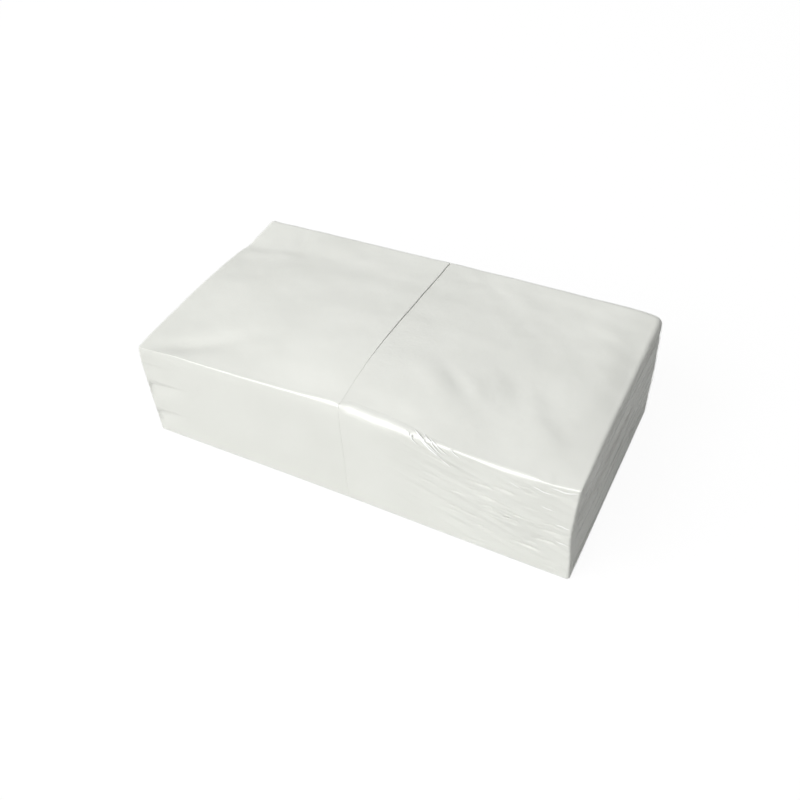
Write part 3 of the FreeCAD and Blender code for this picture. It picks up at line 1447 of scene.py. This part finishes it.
@dataclass(frozen=True)
class Lamp:
    """A soft square lamp, turned to the pack."""

    name: str
    place: tuple[float, float, float]
    size: float
    power: float
    aim: tuple[float, float, float] = (0.0, 0.0, 0.03)

    def build(self) -> None:
        """Hangs the lamp."""
        lamp = bpy.data.lights.new(self.name, "AREA")
        lamp.shape = "SQUARE"
        lamp.size = self.size
        lamp.energy = self.power
        holder = bpy.data.objects.new(self.name, lamp)
        holder.location = self.place
        back = np.array(self.place) - self.aim
        back /= np.linalg.norm(back)
        right = np.cross(UP, back)
        right /= np.linalg.norm(right)
        holder.rotation_mode = "QUATERNION"
        turn = Matrix(np.column_stack([right, np.cross(back, right), back]).tolist())
        holder.rotation_quaternion = turn.to_quaternion()
        bpy.context.scene.collection.objects.link(holder)


@dataclass(frozen=True)
class Studio:
    """A pale floor, a soft key lamp at the front left, a small one behind, and an even light."""

    ambient: float = 0.24
    reach: float = 6.0
    floor_colour: tuple[float, float, float] = (0.76, 0.76, 0.76)
    white_share: float = 0.92
    white_strength: float = 1.03
    lens: float = 42.134
    sensor: float = 36.0
    eye: tuple[float, float, float] = (0.18409, -0.31985, 0.36397)
    rightward: tuple[float, float, float] = (0.887, 0.45868, -0.05329)
    downward: tuple[float, float, float] = (0.2819, -0.62929, -0.72424)
    ahead: tuple[float, float, float] = (-0.36574, 0.62738, -0.68748)
    lamps: tuple[Lamp, ...] = (
        Lamp("key", (-1.14, -2.08, 2.22), 2.6, 125.0),
        Lamp("fill", (-0.25, 0.55, 0.7), 0.5, 0.72),
    )

    def floor(self) -> None:
        """A wide floor that the camera sees as white, with a trace of the shadow."""
        mesh = bpy.data.meshes.new("floor")
        corners = [(x * self.reach, y * self.reach, 0) for x, y in ((-1, -1), (1, -1), (1, 1), (-1, 1))]
        mesh.from_pydata(corners, [], [(0, 1, 2, 3)])
        material = bpy.data.materials.new("pale_floor")
        material.use_nodes = True
        maker = NodeMaker(material.node_tree)
        dull = maker.add("ShaderNodeBsdfDiffuse", {}, {"Color": (*self.floor_colour, 1)})
        glow = maker.add("ShaderNodeEmission", {}, {"Color": (1, 1, 1, 1), "Strength": self.white_strength})
        share = self.seen(maker) * self.white_share
        surface = maker.add("ShaderNodeMixShader", {}, [share, dull, glow])
        maker.add("ShaderNodeOutputMaterial", {}, {"Surface": surface})
        placed("floor", mesh, material)

    @staticmethod
    def seen(maker: NodeMaker) -> Value:
        """Tells which rays show the background, straight or in a gloss.

        Args:
            maker: adds the nodes.

        Returns:
            1 for those rays, and 0 for the rays that carry light.
        """
        path = maker.add("ShaderNodeLightPath").socket.node
        names = ("Is Camera Ray", "Is Glossy Ray", "Is Transmission Ray")
        camera, glossy, clear = (Value(maker, path.outputs[name]) for name in names)
        return (camera + glossy + clear).clamped()

    def world(self) -> None:
        """An even light, white where it is seen."""
        world = bpy.data.worlds.new("studio")
        world.use_nodes = True
        bpy.context.scene.world = world
        maker = NodeMaker(world.node_tree)
        strength = self.seen(maker) * (1 - self.ambient) + self.ambient
        back = maker.add("ShaderNodeBackground", {}, {"Color": (1, 1, 1, 1), "Strength": strength})
        maker.add("ShaderNodeOutputWorld", {}, {"Surface": back})

    def camera(self) -> None:
        """The camera, where the photograph was taken from."""
        data = bpy.data.cameras.new("camera")
        data.lens = self.lens
        data.sensor_width = self.sensor
        data.clip_start, data.clip_end = 0.01, 50.0
        holder = bpy.data.objects.new("camera", data)
        up, behind = [-part for part in self.downward], [-part for part in self.ahead]
        turn = Matrix((self.rightward, up, behind)).transposed()
        holder.matrix_world = Matrix.Translation(self.eye) @ turn.to_4x4()
        bpy.context.scene.collection.objects.link(holder)
        bpy.context.scene.camera = holder

    def build(self) -> None:
        """Sets up the whole studio."""
        self.floor()
        self.world()
        for lamp in self.lamps:
            lamp.build()
        self.camera()
        bpy.context.scene.view_settings.view_transform = "Standard"


def main() -> None:
    """Builds the pack and its studio."""
    logging.basicConfig(level=logging.INFO, format="%(name)s: %(message)s")
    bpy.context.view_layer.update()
    shape = PackShape()
    paper = TissuePaper().material()
    film = ClearFilm().material()
    tree = NapkinEdges().tree()
    left = NapkinStack(shape, "stack_left", "napkin_stack_left", -shape.half_length, -HALF_GAP, 3.0)
    right = NapkinStack(shape, "stack_right", "napkin_stack_right", HALF_GAP, shape.half_length, 57.0)
    for stack in (left, right):
        stack.build(tree, paper)
    wrap = FilmWrap(shape)
    wrap.build(film)
    # The pleats' near-white finish is partly folded film and partly a painted highlight for the film's
    # glints.
    FilmPleats(wrap).build(FoldedFilmWithPaintedGlint().material())
    Studio().build()


if __name__ == "__main__":
    main()
